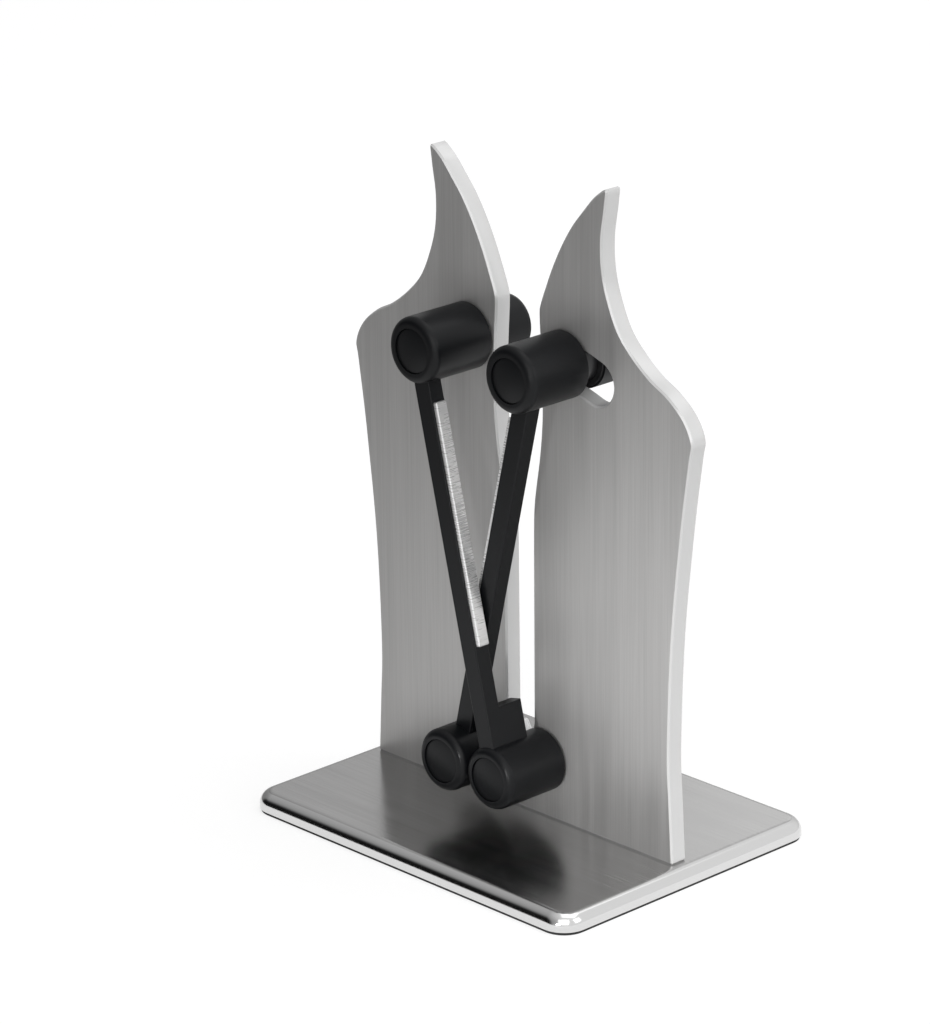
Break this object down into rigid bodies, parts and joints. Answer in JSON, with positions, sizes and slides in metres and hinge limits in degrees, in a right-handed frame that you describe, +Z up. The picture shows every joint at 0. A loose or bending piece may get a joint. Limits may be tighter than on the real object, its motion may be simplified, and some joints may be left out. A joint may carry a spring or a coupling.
{
  "type": "knife sharpener",
  "caption": "Table-top knife sharpener: horned steel frame plate on a flat base, with two sprung black arms that cross in front of its blade slot.",
  "frame": {"origin": "middle of the footprint, on the table under the rubber pad", "axes": "+X runs along the frame plate to its right as seen from the arms, -Y is the front with the arms, +Z is up along the horns"},
  "size_m": [0.1164, 0.087, 0.1706],
  "materials": {
    "brushed_steel": "satin, brushed upright, bright ground edges",
    "dark_steel": "dull, as rolled",
    "bright_steel": "turned, bright",
    "hard_metal": "fine ground, bright",
    "black_plastic": "satin black moulding",
    "glide_plastic": "smooth, slippery, black",
    "bush_brass": "turned",
    "pad_rubber": "matt"
  },
  "bodies": {
    "stand": {"base_cover": "brushed_steel", "base_core": "dark_steel", "base_pad": "pad_rubber", "frame_plate": "brushed_steel", "frame_screws": "bright_steel", "left_pivot_bolt": "bright_steel", "right_pivot_bolt": "bright_steel", "left_pivot_washer": "bright_steel", "right_pivot_washer": "bright_steel", "left_pivot_nut": "bright_steel", "right_pivot_nut": "bright_steel", "left_torsion_spring": "bright_steel", "right_torsion_spring": "bright_steel"},
    "left_lever": {"left_arm": "black_plastic", "left_sharpening_bar": "hard_metal", "left_head_cap": "black_plastic", "left_head_bolt": "bright_steel", "left_slot_roller": "glide_plastic", "left_front_glide": "glide_plastic", "left_rear_glide": "glide_plastic", "left_rear_cap": "black_plastic", "right_hub_bush": "bush_brass", "right_hub_cap": "black_plastic"},
    "right_lever": {"right_arm": "black_plastic", "right_sharpening_bar": "hard_metal", "right_head_cap": "black_plastic", "right_head_bolt": "bright_steel", "right_slot_roller": "glide_plastic", "right_front_glide": "glide_plastic", "right_rear_glide": "glide_plastic", "right_rear_cap": "black_plastic", "left_hub_bush": "bush_brass", "left_hub_cap": "black_plastic"}
  },
  "joints": [
    {"name": "right_arm_swing", "type": "hinge", "parent": "stand", "child": "right_lever", "pos_m": [-0.0084, 0, 0.0206], "axis": [0, 1, 0], "range_deg": [0, 5.4], "stiffness_Nm_per_rad": 2, "springref_deg": -8.59},
    {"name": "left_arm_swing", "type": "hinge", "parent": "stand", "child": "left_lever", "pos_m": [0.0084, 0, 0.0206], "axis": [0, -1, 0], "range_deg": [0, 5.4], "stiffness_Nm_per_rad": 2, "springref_deg": -8.59}
  ]
}
